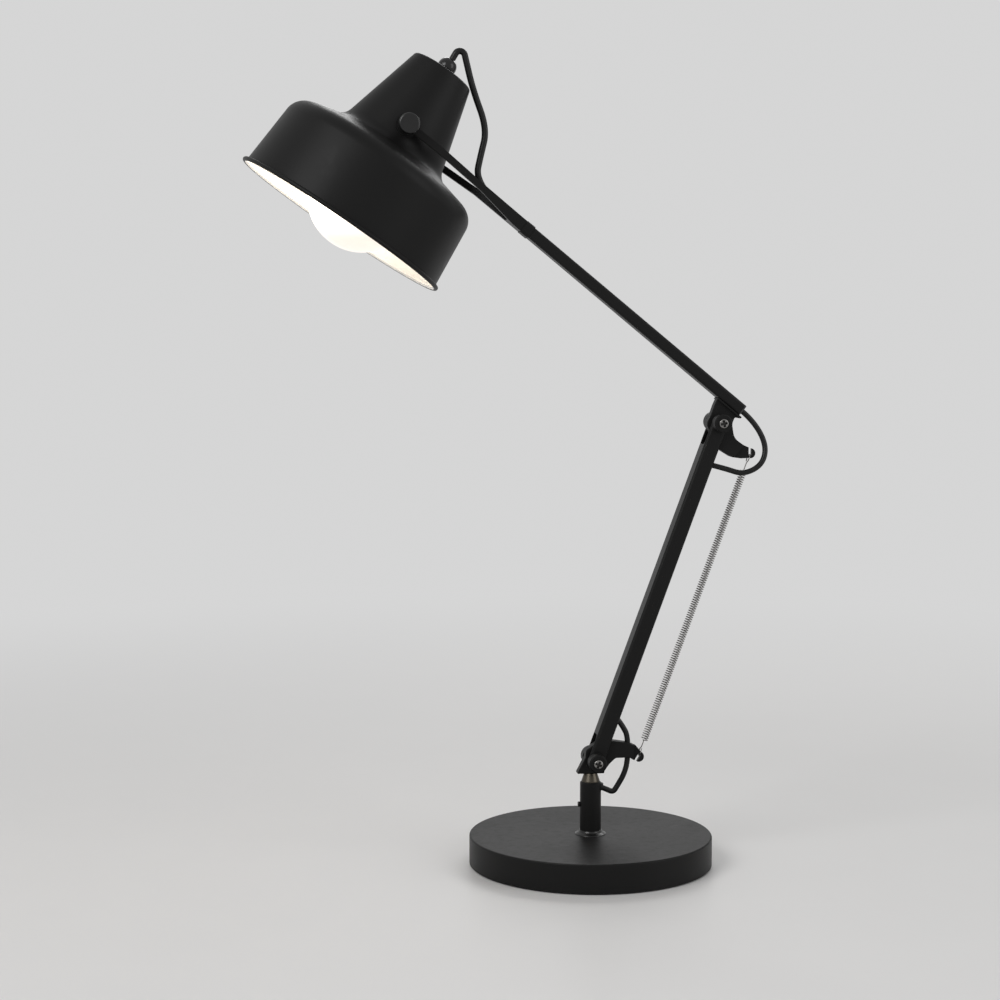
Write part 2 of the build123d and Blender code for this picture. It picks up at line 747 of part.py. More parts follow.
with BuildPart() as shade_fork:
    with BuildSketch(fork_plan):
        with BuildLine():
            Polyline(
                (-eye_radius, fork_outer),
                (tine_straight, fork_outer),
                (fork_root_start, root_half),
                (fork_shank_end, root_half),
                (fork_shank_end, 0),
                (fork_crotch, 0),
                (fork_crotch, crotch_half),
                (inner_bend, fork_half_span),
                (-eye_radius, fork_half_span),
                close=True,
            )
        make_face()
        mirror(about=Plane.XZ)
    extrude(amount=eye_radius + fork_drop, both=True)
    with BuildSketch(fork_side):
        with BuildLine():
            Polyline(
                (0, tine_width / 2 - fork_drop),
                (fork_taper_start, tine_width / 2),
                (fork_root_start, upper_tube_width / 2),
                (fork_shank_end, upper_tube_width / 2),
                (fork_shank_end, -upper_tube_width / 2),
                (fork_root_start, -upper_tube_width / 2),
                (fork_taper_start, -tine_width / 2),
                (0, -tine_width / 2 - fork_drop),
                close=True,
            )
        make_face()
        with Locations((0, -fork_drop)):
            Circle(eye_radius)
    extrude(amount=fork_outer, both=True, mode=Mode.INTERSECT)
    with BuildSketch(square_to_arm(fork_shank_end)):
        RectangleRounded(*tube_inside, inside_rounding)
    extrude(amount=fork_plug_length)
    with BuildSketch(square_to_arm(fork_crotch)):
        Circle(lead_bore / 2)
    extrude(amount=fork_shank_end + fork_plug_length - fork_crotch, mode=Mode.SUBTRACT)
    with BuildSketch(shade_side):
        Circle(pin_diameter / 2 + running_gap)
    extrude(amount=fork_outer, both=True, mode=Mode.SUBTRACT)
export(shade_fork, "shade_fork")

with BuildPart() as fork_washers:
    with BuildSketch(across(shade_side, 0, 0, fork_outer)):
        Circle(fork_washer_diameter / 2)
        Circle(pin_diameter / 2 + running_gap, mode=Mode.SUBTRACT)
    extrude(amount=fork_washer_thickness)
    mirror(about=Plane.XZ)
export(fork_washers, "fork_washers")

# ---------------------------------------------------------------- shade
shade_profile = [
    (0, crown_height),
    (crown_radius, crown_height),
    (waist_radius, waist_height),
    (shoulder_radius, shoulder_height),
    (rim_radius, rim_height),
]
shade_roundings = [crown_rounding, waist_rounding, shoulder_rounding]

with BuildPart() as shade_shell:
    with BuildSketch(shade_side):
        with BuildLine():
            FilletPolyline(*shade_profile, radius=shade_roundings)
            offset(amount=shade_wall, side=Side.RIGHT, closed=True)
        make_face()
        with Locations((rim_radius + bead_radius - shade_wall / 2, rim_height)):
            Circle(bead_radius)
    revolve(axis=shade_axis)
    with BuildSketch(shade_side):
        Circle(pin_diameter / 2)
    extrude(amount=boss_face, both=True, mode=Mode.SUBTRACT)
    crown_plane = Plane(
        origin=shade_side.from_local_coords((0, crown_height, 0)),
        x_dir=shade_side.x_dir,
        z_dir=shade_side.y_dir,
    )
    with BuildSketch(crown_plane):
        Circle(nipple_diameter / 2)
    extrude(amount=-2 * shade_wall, mode=Mode.SUBTRACT)
export(shade_shell, "shade_shell")


def make_shade_pivot(side, name):
    """Boss, pin and knob on one side of the shade; side is 1 towards the viewer."""
    with BuildPart() as boss:
        with BuildSketch(across(shade_side, 0, 0, side * boss_face)):
            Circle(boss_diameter / 2)
        extrude(amount=-side * boss_diameter)
        with BuildSketch(shade_side):
            with BuildLine():
                outline = FilletPolyline(*shade_profile, radius=shade_roundings)
                Polyline(outline @ 1, (0, rim_height), outline @ 0)
            make_face()
        revolve(axis=shade_axis, mode=Mode.SUBTRACT)
        with BuildSketch(shade_side):
            Circle(pin_diameter / 2)
        extrude(amount=side * boss_face, mode=Mode.SUBTRACT)
    export(boss, f"shade_boss_{name}")
    with BuildPart() as pin:
        with BuildSketch(across(shade_side, 0, 0, side * pivot_pin_start)):
            Circle(pin_diameter / 2)
        extrude(amount=side * pivot_pin_length)
    export(pin, f"pivot_pin_{name}")
    knob_face = fork_outer + fork_washer_thickness + face_gap
    with BuildPart() as knob:
        with BuildSketch(across(shade_side, 0, 0, side * knob_face)):
            Circle(knob_diameter / 2)
        extrude(amount=side * knob_length)
        front = knob.faces().sort_by(Axis.Y)[0 if side == 1 else -1]
        fillet(front.edges(), radius=knob_rounding)
        with BuildSketch(shade_side):
            Circle(pin_diameter / 2 + running_gap)
        bore_end = pivot_pin_start + pivot_pin_length + face_gap
        extrude(amount=side * bore_end, mode=Mode.SUBTRACT)
    export(knob, f"knob_{name}")


make_shade_pivot(1, "near")
make_shade_pivot(-1, "far")

# ---------------------------------------------------------------- lampholder and bulb
gland_height = crown_height + gland_centre
crown_underside = crown_height - shade_wall

with BuildPart() as lamp_gland:
    with BuildSketch(shade_side):
        with Locations((0, gland_height)):
            Circle(gland_radius)
        with Locations((0, crown_height)):
            Rectangle(4 * gland_radius, 4 * gland_radius, align=(Align.MAX, Align.CENTER), mode=Mode.SUBTRACT)
            Rectangle(
                4 * gland_radius, 4 * gland_radius, align=(Align.CENTER, Align.MAX), mode=Mode.SUBTRACT
            )
        with Locations((0, gland_height + gland_top)):
            Rectangle(4 * gland_radius, gland_radius, align=(Align.CENTER, Align.MIN), mode=Mode.SUBTRACT)
        with Locations((0, crown_height)):
            Rectangle(nipple_diameter / 2, gland_centre, align=(Align.MIN, Align.MIN), mode=Mode.SUBTRACT)
            Rectangle(
                lead_diameter / 2 - face_gap,
                4 * gland_radius,
                align=(Align.MIN, Align.MIN),
                mode=Mode.SUBTRACT,
            )
    revolve(axis=shade_axis)
export(lamp_gland, "lamp_gland")


def make_ring(name, inner, outer, bottom, top, rounding=0):
    """Turned ring on the shade's axis; its outer top edge may be rounded."""
    with BuildPart() as ring:
        with BuildSketch(shade_side) as section:
            with Locations(((inner + outer) / 2, (bottom + top) / 2)):
                Rectangle(outer - inner, top - bottom)
            if rounding:
                fillet(section.vertices().group_by(Axis.Y)[-1].sort_by(Axis.X)[-1], radius=rounding)
        revolve(axis=shade_axis)
    export(ring, name)


make_ring(
    "lamp_nipple",
    nipple_bore / 2,
    nipple_diameter / 2,
    holder_top - nipple_engagement,
    gland_height,
)
make_ring(
    "gland_nut",
    nipple_diameter / 2,
    gland_nut_diameter / 2,
    crown_underside - gland_nut_thickness,
    crown_underside,
)

holder_radius = holder_diameter / 2
cap_top = bulb_cap_bottom + bulb_cap_length

with BuildPart() as lampholder:
    with BuildSketch(shade_side):
        with BuildLine():
            FilletPolyline(
                (nipple_diameter / 2, holder_top),
                (holder_radius, holder_top),
                (holder_radius, holder_bottom),
                (holder_radius - holder_wall, holder_bottom),
                (holder_radius - holder_wall, holder_top - holder_wall),
                (nipple_diameter / 2, holder_top - holder_wall),
                radius=[holder_rounding, 0.5, 0.5, holder_rounding - holder_wall],
            )
            Line((nipple_diameter / 2, holder_top - holder_wall), (nipple_diameter / 2, holder_top))
        make_face()
    revolve(axis=shade_axis)
export(lampholder, "lampholder")

make_ring(
    "lampholder_skirt",
    holder_radius,
    skirt_diameter / 2,
    holder_bottom,
    holder_bottom + skirt_length,
    rounding=1.0,
)

with BuildPart() as lampholder_core:
    with BuildSketch(shade_side):
        with BuildLine():
            Polyline(
                (0, cap_top + contact_thickness),
                (bulb_cap_diameter / 2 + 2 * running_gap, cap_top + contact_thickness),
                (bulb_cap_diameter / 2 + 2 * running_gap, core_bottom),
                (holder_radius - holder_wall, core_bottom),
                (holder_radius - holder_wall, core_top),
                (0, core_top),
                close=True,
            )
        make_face()
    revolve(axis=shade_axis)
export(lampholder_core, "lampholder_core")

with BuildPart() as socket_contact:
    with BuildSketch(shade_side):
        with Locations((0, cap_top)):
            Rectangle(contact_diameter / 2, contact_thickness, align=(Align.MIN, Align.MIN))
    revolve(axis=shade_axis)
export(socket_contact, "socket_contact")

with BuildPart() as bulb_cap:
    with BuildSketch(shade_side):
        with BuildLine():
            Polyline(
                (0, bulb_cap_bottom),
                (bulb_cap_diameter / 2, bulb_cap_bottom),
                (bulb_cap_diameter / 2, cap_top - bulb_cap_taper),
                (contact_diameter / 2, cap_top),
                (0, cap_top),
                close=True,
            )
        make_face()
    revolve(axis=shade_axis)
export(bulb_cap, "bulb_cap")

# The globe's neck flows into the sphere through an arc tangent to both.
globe_radius = globe_diameter / 2
neck_drop = globe_neck_end - globe_height
flow_radius = (neck_drop**2 + globe_neck_radius**2 - globe_radius**2) / (
    2 * (globe_radius - globe_neck_radius)
)
flow_angle = degrees(atan2(neck_drop, globe_neck_radius + flow_radius))

with BuildPart() as bulb_glass:
    with BuildSketch(shade_side):
        with BuildLine():
            neck = Line((globe_neck_radius, bulb_cap_bottom), (globe_neck_radius, globe_neck_end))
            flow = JernArc(neck @ 1, neck % 1, flow_radius, flow_angle)
            JernArc(flow @ 1, flow % 1, globe_radius, -90 - flow_angle)
            offset(amount=glass_wall, side=Side.RIGHT, closed=True)
        make_face()
    revolve(axis=shade_axis)
export(bulb_glass, "bulb_glass")

# ---------------------------------------------------------------- lead
# The routes run from gland to post: over the crown, through the upper arm, round the
# elbow, down the lower arm and through the lower horn into the post.
run_share = 0.45  # of a run, taken up by the bend at its end


def bend_radii(route, limits):
    """Largest radius that the runs allow at each corner, with limits for some corners."""
    corners = [Vector(*point) for point in route]
    radii = []
    for i in range(1, len(corners) - 1):
        before = corners[i] - corners[i - 1]
        after = corners[i + 1] - corners[i]
        room_before = before.length * (2 if i == 1 else 1)
        room_after = after.length * (2 if i == len(corners) - 2 else 1)
        half_turn = radians(before.get_angle(after)) / 2
        radius = run_share * min(room_before, room_after) / tan(half_turn)
        radii.append(min(radius, limits.get(i, radius)))
    return radii


def make_lead(route, diameter, name, limits=None):
    """Round lead along straight runs joined by tangent arcs."""
    radii = bend_radii(route, limits or {})
    print(name, "bend radii", [round(radius, 1) for radius in radii])
    with BuildPart() as lead:
        with BuildLine() as path:
            FilletPolyline(*route, radius=radii)
        start = Plane(origin=route[0], z_dir=Vector(*route[1]) - Vector(*route[0]))
        with BuildSketch(start):
            Circle(diameter / 2)
        sweep()
    export(lead, name)


def point(plane, x, y, depth=0):
    return tuple(plane.from_local_coords((x, y, depth)))


def beyond(before, end, distance):
    """Point that carries the run from before to end on by a distance."""
    run = Vector(*end) - Vector(*before)
    return tuple(Vector(*end) + run.normalized() * distance)


gland_flat = gland_height + gland_top
head_route = [
    point(shade_side, 0, gland_flat),
    point(shade_side, -0.8, gland_flat + 16.2),
    (-109.8, 0, 722.8),
    (-99.3, 0, 690.0),
    (-105.4, 0, 663.0),
    (-108.8, 0, 643.5),
    point(fork_side, fork_crotch - 17.0, 0),
    point(fork_side, fork_crotch, 0),
]
upper_route = [
    point(fork_side, fork_crotch, 0),
    point(fork_side, fork_shank_end + fork_plug_length + 8.0, 0),
    point(fork_side, 230.0, 0.7, 2.0),
    point(fork_side, 290.0, -0.6, -1.5),
    point(fork_side, 345.0, 0.5, 0.8),
    point(fork_side, tube_end - end_plug_length - 10.0, 0),
    point(fork_side, tube_end + end_plug_lip, 0),
]
elbow_mouth = point(lower_side, end_radius, lower_length - slot_lead_reach, 3.0)
elbow_route = [
    point(fork_side, tube_end + end_plug_lip, 0),
    point(fork_side, tube_end + end_plug_lip + 15.5, 0),
    (167.6, -3.0, 396.5),
    (162.8, -8.0, 377.4),
    (143.5, -8.5, 369.0),
    (126.5, -5.5, 374.6),
    elbow_mouth,
]
shoulder_mouth = point(lower_side, end_radius, slot_lead_reach)
shoulder_route = [
    shoulder_mouth,
    (32.6, 0, 129.6),
    (36.2, 0, 119.0),
    point(bracket_side, horn_lead_x, 9.5),
]
lower_route = [
    elbow_mouth,
    beyond(elbow_route[-2], elbow_mouth, tube_turn),
    point(lower_side, 0.6, 252.0, -0.8),
    point(lower_side, -0.8, 200.0, 1.5),
    point(lower_side, 0.8, 145.0, -1.0),
    point(lower_side, -0.6, 90.0, 1.0),
    beyond(shoulder_route[1], shoulder_mouth, tube_turn),
    shoulder_mouth,
]
post_route = [
    shoulder_route[-1],
    beyond(shoulder_route[-2], shoulder_route[-1], 12.0),
    (32.2, 0, 84.6),
    tuple(post_entry.from_local_coords((0, 0, fold_reach))),
    tuple(post_entry.from_local_coords((0, 0, entry_depth))),
]
make_lead(head_route, head_lead_diameter, "head_lead", {1: hump_radius})
make_lead(upper_route, lead_diameter, "upper_arm_lead")
make_lead(elbow_route, lead_diameter, "elbow_lead")
make_lead(lower_route, lead_diameter, "lower_arm_lead")
make_lead(shoulder_route, lead_diameter, "shoulder_lead")
make_lead(post_route, lead_diameter, "post_lead", {3: fold_radius})

# ---------------------------------------------------------------- balance spring
# One wire from ring to ring: each ring hooks into a notch and straddles its horn.
seat_rise = hook_radius - sqrt(hook_radius**2 - (horn_tip_thickness / 2) ** 2)
notch_seat = (notch_width - spring_wire) / 2 - seat_rise - 2 * running_gap


def find_seat(plane, notch, angle):
    """Wire's centre where the spring's pull holds it in a notch that opens at this angle."""
    x = notch[0] - notch_seat * cos(radians(angle))
    y = notch[1] - notch_seat * sin(radians(angle))
    return plane.from_local_coords((x, y, 0))


lower_seat = find_seat(bracket_side, lower_notch, lower_notch_angle)
upper_seat = find_seat(upper_side, upper_notch, upper_notch_angle)
along = (upper_seat - lower_seat).normalized()
spring_length = (upper_seat - lower_seat).length
coil_radius = (spring_outer_diameter - spring_wire) / 2
coil_start = lower_hook_length
coil_end = spring_length - upper_hook_length
spring_pitch = (coil_end - coil_start) / spring_curls
spring_frame = Plane(origin=lower_seat, x_dir=(0, 1, 0), z_dir=along)


# The ring's centre lies hook_radius from its seat. A bend brings its shank to the axis.
bend_angle = acos(hook_bend / (hook_radius + hook_bend))
shank_height = hook_radius + (hook_radius + hook_bend) * sin(bend_angle)
coil_entry = 1.2 * coil_radius  # length of the turn from the axis to the first curl
ring = []  # across the axis, along it, and the way it runs, from the free end
for step in range(hook_steps + 1):
    angle = bend_angle - radians(hook_turn) * (1 - step / hook_steps)
    ring.append((hook_radius * cos(angle), hook_radius + hook_radius * sin(angle), angle + pi / 2))
free_x, free_z, free_way = ring[0]
ring.insert(0, (free_x - spring_wire * cos(free_way), free_z - spring_wire * sin(free_way), free_way))
ring.append((0, shank_height, pi / 2))

stations = []  # point and direction in the spring's frame
for x, z, way in ring:
    stations.append(((x, 0, z), (cos(way), 0, sin(way))))
stations.append(((0, 0, coil_start - coil_entry), (0, 0, 1)))
for half_turn in range(2 * spring_curls + 1):
    phase = pi * half_turn
    place = (coil_radius * cos(phase), coil_radius * sin(phase), coil_start + spring_pitch * phase / 2 / pi)
    stations.append((place, (-coil_radius * sin(phase), coil_radius * cos(phase), spring_pitch / 2 / pi)))
stations.append(((0, 0, coil_end + coil_entry), (0, 0, 1)))
for x, z, way in reversed(ring):
    stations.append(((-x, 0, spring_length - z), (cos(way), 0, sin(way))))

turned = spring_frame.from_local_coords
centre = turned((0, 0, 0))
wire_points = [turned(place) for place, way in stations]
wire_ways = [(turned(way) - centre).normalized() for place, way in stations]

with BuildPart() as balance_spring:
    with BuildLine() as wire_path:
        for i in range(len(stations) - 1):
            first, last = wire_points[i], wire_points[i + 1]
            way_in, way_out = wire_ways[i], wire_ways[i + 1]
            gap = last - first
            if way_in.cross(way_out).length < 1e-9:
                Line(first, last)
                continue
            ways = way_in + way_out
            spread = 2 * (1 - way_in.dot(way_out))
            reach = (sqrt(gap.dot(ways) ** 2 + spread * gap.dot(gap)) - gap.dot(ways)) / spread
            joint = (first + last + (way_in - way_out) * reach) * 0.5
            entry_arc = TangentArc(first, joint, tangent=way_in)
            TangentArc(joint, last, tangent=entry_arc % 1)
    with BuildSketch(Plane(origin=wire_points[0], z_dir=wire_ways[0])):
        RegularPolygon(spring_wire / 2, 6)
    sweep(clean=False)
export(balance_spring, "balance_spring")

samples = []
for edge in wire_path.edges():
    samples.extend(edge @ share for share in (0.0, 0.25, 0.5, 0.75))
least = min(
    (samples[i] - samples[j]).length
    for i in range(len(samples))
    for j in range(i + 8, min(i + 40, len(samples)))
)
print("spring's least gap between curls", round(least - spring_wire, 2), "mm")
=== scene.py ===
import json
from math import acos, atan2, cos, degrees, pi, radians, sin, sqrt, tan

import bmesh
import bpy
import numpy as np
from mathutils import Matrix, Vector


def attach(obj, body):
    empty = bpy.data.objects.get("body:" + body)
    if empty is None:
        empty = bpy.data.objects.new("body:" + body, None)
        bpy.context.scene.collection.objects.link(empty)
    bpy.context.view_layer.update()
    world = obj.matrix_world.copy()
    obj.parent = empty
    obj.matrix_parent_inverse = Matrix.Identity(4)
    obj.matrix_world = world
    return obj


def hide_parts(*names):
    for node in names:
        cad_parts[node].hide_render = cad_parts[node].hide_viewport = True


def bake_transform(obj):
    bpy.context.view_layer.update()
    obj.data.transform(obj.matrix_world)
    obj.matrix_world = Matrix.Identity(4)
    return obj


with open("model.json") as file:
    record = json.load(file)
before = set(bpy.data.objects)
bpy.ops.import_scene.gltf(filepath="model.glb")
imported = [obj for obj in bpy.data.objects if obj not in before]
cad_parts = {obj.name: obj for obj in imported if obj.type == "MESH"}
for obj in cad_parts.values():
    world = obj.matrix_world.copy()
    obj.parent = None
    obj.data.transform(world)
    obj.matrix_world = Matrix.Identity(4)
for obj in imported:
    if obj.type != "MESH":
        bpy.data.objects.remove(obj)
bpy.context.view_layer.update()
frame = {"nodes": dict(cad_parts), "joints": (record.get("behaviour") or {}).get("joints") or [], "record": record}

# Spring-balanced desk lamp: satin black, white inside the shade, one bright spring.
# Lengths are millimetres, and mm turns them into Blender's metres where a mesh is made.
mm = 0.001

rest = {"lean": 20.15, "slope": 39.4, "tilt": 34.7, "forkDrop": 3.0}  # degrees, and mm
lowerLength = 339.5
joints = {joint["name"]: joint for joint in frame["joints"]}
shoulder = Vector(joints["shoulder"]["pos_m"]) / mm
elbow = Vector(joints["elbow"]["pos_m"]) / mm
shadePivot = Vector(joints["shade_tilt"]["pos_m"]) / mm


class Side:
    # A plane across the joints' axes: x and y lie in it, and depth comes out towards the viewer.
    def __init__(self, origin, angle):
        self.origin = Vector(origin)
        self.x = Vector((cos(angle), 0, -sin(angle)))
        self.y = Vector((sin(angle), 0, cos(angle)))
        self.out = Vector((0, -1, 0))

    def __call__(self, x, y, depth=0.0):
        return self.origin + self.x * x + self.y * y + self.out * depth


bracketSide = Side(shoulder, 0)
lowerSide = Side(shoulder, radians(rest["lean"]))
upperSide = Side(elbow, radians(rest["slope"]))
shadeSide = Side(shadePivot, radians(rest["tilt"]))
forkSide = Side(shadePivot + upperSide.y * rest["forkDrop"], radians(rest["slope"]))

cameraSettings = {
    "place": (-0.32297, -1.89429, 0.5068),
    "turn": (85.206, 0, -7.115),
    "lens": 73.99,
}
cameraData = bpy.data.cameras.new("camera")
cameraData.sensor_width = 36
cameraData.lens = cameraSettings["lens"]
cameraData.clip_end = 50
camera = bpy.data.objects.new("camera", cameraData)
camera.location = cameraSettings["place"]
camera.rotation_euler = [radians(angle) for angle in cameraSettings["turn"]]
bpy.context.collection.objects.link(camera)
bpy.context.scene.camera = camera
print("camera placed")


def addObject(name, data, material=None):
    piece = bpy.data.objects.new(name, data)
    bpy.context.collection.objects.link(piece)
    if material:
        data.materials.append(material)
    return piece


# A grid of points becomes a skin of quads: each face joins neighbours in its row and the next row.
# Rows or columns may close on themselves, and flat ends close a tube.
def gridMesh(name, grid, closeRows=False, closeColumns=False, ends=False, sharp=35):
    rows, columns = grid.shape[:2]
    index = np.arange(rows * columns).reshape(rows, columns)
    if closeRows:
        index = np.vstack([index, index[:1]])
    if closeColumns:
        index = np.hstack([index, index[:, :1]])
    quads = np.stack([index[:-1, :-1], index[:-1, 1:], index[1:, 1:], index[1:, :-1]], axis=-1)
    faces = quads.reshape(-1, 4).tolist()
    if ends:
        faces.append(index[0, :columns][::-1].tolist())
        faces.append(index[-1, :columns].tolist())
    mesh = bpy.data.meshes.new(name)
    mesh.from_pydata((grid.reshape(-1, 3) * mm).tolist(), [], faces)
    mesh.update()
    return closeSkin(mesh, sharp)


# Points that meet at a pole or a seam are merged, and the faces are turned outwards.
def closeSkin(mesh, sharp):
    skin = bmesh.new()
    skin.from_mesh(mesh)
    bmesh.ops.remove_doubles(skin, verts=skin.verts, dist=0.002 * mm)
    bmesh.ops.recalc_face_normals(skin, faces=skin.faces)
    skin.to_mesh(mesh)
    skin.free()
    mesh.shade_smooth()
    mesh.set_sharp_from_angle(angle=radians(sharp))
    return mesh


# Each inner corner of an outline gives way to an arc that touches both its runs.
def roundCorners(points, radii, step):
    points = [Vector(point) for point in points]
    outline = [points[0]]
    for i, radius in enumerate(radii, start=1):
        before = (points[i - 1] - points[i]).normalized()
        after = (points[i + 1] - points[i]).normalized()
        half = before.angle(after) / 2
        centre = points[i] + (before + after).normalized() * (radius / sin(half))
        start = points[i] + before * (radius / tan(half)) - centre
        end = points[i] + after * (radius / tan(half)) - centre
        turn = start.angle_signed(end)
        count = max(2, int(abs(degrees(turn)) / step))
        arc = [centre + Matrix.Rotation(-turn * j / count, 2) @ start for j in range(count + 1)]
        outline.extend(arc)
    outline.append(points[-1])
    return np.array([tuple(point) for point in outline])


# Long runs of an outline get points between, evenly along its length.
def fillOutline(outline, step):
    length = np.concatenate([[0], np.cumsum(np.linalg.norm(np.diff(outline, axis=0), axis=1))])
    even = np.linspace(0, length[-1], int(length[-1] / step) + 1)
    places = np.unique(np.concatenate([length, even]).round(6))
    filled = [np.interp(places, length, outline[:, side]) for side in (0, 1)]
    return np.stack(filled, axis=1)


# Turned surface: at angle a each (radius, height) goes to height up the axis and
# radius x (cos a along the side's x, sin a out of the side's plane).
def turned(name, side, outline, segments, closed=False, sharp=35):
    turns = np.linspace(0, 2 * pi, segments, endpoint=False)
    ring = np.cos(turns)[:, None] * np.array(side.x) + np.sin(turns)[:, None] * np.array(side.out)
    grid = outline[:, 0, None, None] * ring + outline[:, 1, None, None] * np.array(side.y)
    grid = grid + np.array(side.origin)
    return gridMesh(name, grid, closeRows=closed, closeColumns=True, sharp=sharp)


# Round tube: at each point of the line a ring of the radius, across the line's direction there.
# The ring's first spoke is the part of the outward direction that is square to the line.
def tubeAlong(name, line, outward, radius, sides):
    ways = np.gradient(line, axis=0)
    ways /= np.linalg.norm(ways, axis=1)[:, None]
    outward = np.broadcast_to(outward, line.shape)
    first = outward - ways * np.sum(outward * ways, axis=1)[:, None]
    first /= np.linalg.norm(first, axis=1)[:, None]
    second = np.cross(ways, first)
    turns = np.linspace(0, 2 * pi, sides, endpoint=False)
    cosines, sines = np.cos(turns)[None, :, None], np.sin(turns)[None, :, None]
    ring = cosines * first[:, None] + sines * second[:, None]
    return gridMesh(name, line[:, None] + radius * ring, closeColumns=True, ends=True, sharp=60)


class Value:
    # A node's socket. Arithmetic on it adds Math nodes to its shader.
    def __init__(self, shader, socket):
        self.shader = shader
        self.socket = socket

    def math(self, operation, first, second):
        return self.shader.add("ShaderNodeMath", {"operation": operation}, {0: first, 1: second})

    def __add__(self, other):
        return self.math("ADD", self, other)

    def __sub__(self, other):
        return self.math("SUBTRACT", self, other)

    def __rsub__(self, other):
        return self.math("SUBTRACT", other, self)

    def __mul__(self, other):
        return self.math("MULTIPLY", self, other)

    __radd__ = __add__
    __rmul__ = __mul__


class Nodes:
    # Adds nodes to one tree and joins them.
    def __init__(self, tree):
        self.tree = tree

    def plug(self, socket, value):
        if isinstance(value, Value):
            self.tree.links.new(value.socket, socket)
        else:
            socket.default_value = value

    def add(self, kind, settings=None, values=None, output=0):
        node = self.tree.nodes.new(kind)
        for name, setting in (settings or {}).items():
            setattr(node, name, setting)
        for socket, value in (values or {}).items():
            self.plug(node.inputs[socket], value)
        return Value(self, node.outputs[output])

    def mix(self, share, first, second):
        values = {0: share, 6: first, 7: second}
        return self.add("ShaderNodeMix", {"data_type": "RGBA"}, values, output=2)


class Shader(Nodes):
    # A material round one Principled shader, which reads the piece's own coordinates.
    def __init__(self, name):
        self.material = bpy.data.materials.new(name)
        self.material.use_nodes = True
        super().__init__(self.material.node_tree)
        self.principled = self.tree.nodes["Principled BSDF"]
        self.place = self.add("ShaderNodeTexCoord", output="Object")
        self.lastBump = None

    # Noise in 0 to 1 whose blots are about size millimetres across.
    def noise(self, size, detail=3.0, rough=0.55):
        values = {"Vector": self.place, "Scale": 1 / (size * mm), "Detail": detail, "Roughness": rough}
        return self.add("ShaderNodeTexNoise", None, values)

    # 0 up to low, 1 from high, and smooth between.
    def fade(self, value, low, high):
        values = {"Value": value, "From Min": low, "From Max": high}
        return self.add("ShaderNodeMapRange", {"interpolation_type": "SMOOTHSTEP"}, values)

    # How far a face looks up: 1 on a level top, 0 on a wall.
    def lookingUp(self):
        normal = self.add("ShaderNodeNewGeometry", output="Normal")
        return self.add("ShaderNodeSeparateXYZ", None, {"Vector": normal}, output="Z")

    def height(self):
        return self.add("ShaderNodeSeparateXYZ", None, {"Vector": self.place}, output="Z")

    # Relief of a height in 0 to 1, depth millimetres high, over the relief made before.
    def relief(self, height, depth):
        values = {"Height": height, "Distance": depth * mm}
        if self.lastBump:
            values["Normal"] = self.lastBump
        self.lastBump = self.add("ShaderNodeBump", None, values)
        self.plug(self.principled.inputs["Normal"], self.lastBump)

    def finish(self, values):
        for socket, value in values.items():
            self.plug(self.principled.inputs[socket], value)
        return self.material


def grey(level, warm=0.0):
    return (level * (1 + warm), level, level * (1 - warm), 1)


coats = {
    "black_steel": {"level": 0.009, "rough": 0.42, "grain": 0.5, "depth": 0.022},
    "black_casting": {"level": 0.0085, "rough": 0.46, "grain": 0.8, "depth": 0.035},
    "black_tube": {"level": 0.009, "rough": 0.38, "grain": 0.45, "depth": 0.014},
    "shade_metal": {"level": 0.0085, "rough": 0.44, "grain": 0.45, "depth": 0.016},
}


coatSpecular = 0.13
dustShare = 0.08


# Powder coat: fine grain in colour and relief, a slow drift in gloss, faint rubbed patches,
# and a trace of dust where a face looks up.
def powderCoat(name, level, rough, grain, depth):
    shader = Shader(name)
    speckle = shader.noise(grain, 2, 0.7)
    drift = shader.noise(60, 2)
    rubbed = shader.fade(shader.noise(26, 5, 0.65), 0.58, 0.8)
    upward = shader.fade(shader.lookingUp(), 0.55, 1.0)
    dust = upward * shader.fade(shader.noise(7, 6, 0.7), 0.42, 0.85)
    base = shader.mix(speckle, grey(level * 0.6), grey(level * 1.35, 0.01))
    dusty = shader.mix(dust * dustShare, base, grey(level * 6, 0.06))
    shader.relief(speckle, depth)
    shader.relief(shader.noise(2.4, 1), depth * 0.8)
    return shader.finish(
        {
            "Base Color": dusty,
            "Roughness": rough - 0.1 + drift * 0.14 + speckle * 0.08 - rubbed * 0.07 + dust * 0.12,
            "Specular IOR Level": coatSpecular,
        }
    )


glossySettings = {"level": 0.008, "rough": 0.24, "specular": 0.28, "coat": 0.2, "coatRough": 0.14}


# Moulded glossy black: nearly even, with a haze in its gloss and slow waves in its surface.
def glossyMoulding():
    shader = Shader("glossyMoulding")
    haze = shader.noise(9, 4)
    smear = shader.fade(shader.noise(22, 5, 0.7), 0.5, 0.8)
    level = glossySettings["level"]
    colour = shader.mix(haze, grey(level * 0.8), grey(level * 1.2))
    shader.relief(shader.noise(2.5, 1), 0.008)
    return shader.finish(
        {
            "Base Color": colour,
            "Roughness": haze * 0.08 + smear * 0.08 + glossySettings["rough"] - 0.04,
            "Specular IOR Level": glossySettings["specular"],
            "Coat Weight": glossySettings["coat"],
            "Coat Roughness": glossySettings["coatRough"],
        }
    )


# White enamel inside the shade: faint cream mottle, orange-peel relief and a haze in its gloss.
def whiteEnamel():
    shader = Shader("whiteEnamel")
    mottle = shader.noise(14, 3)
    colour = shader.mix(mottle, (0.86, 0.84, 0.8, 1), (0.91, 0.895, 0.865, 1))
    shader.relief(shader.noise(1.6, 2), 0.02)
    return shader.finish({"Base Color": colour, "Roughness": mottle * 0.12 + 0.28})


steelSettings = {"level": 0.24, "rough": 0.16}


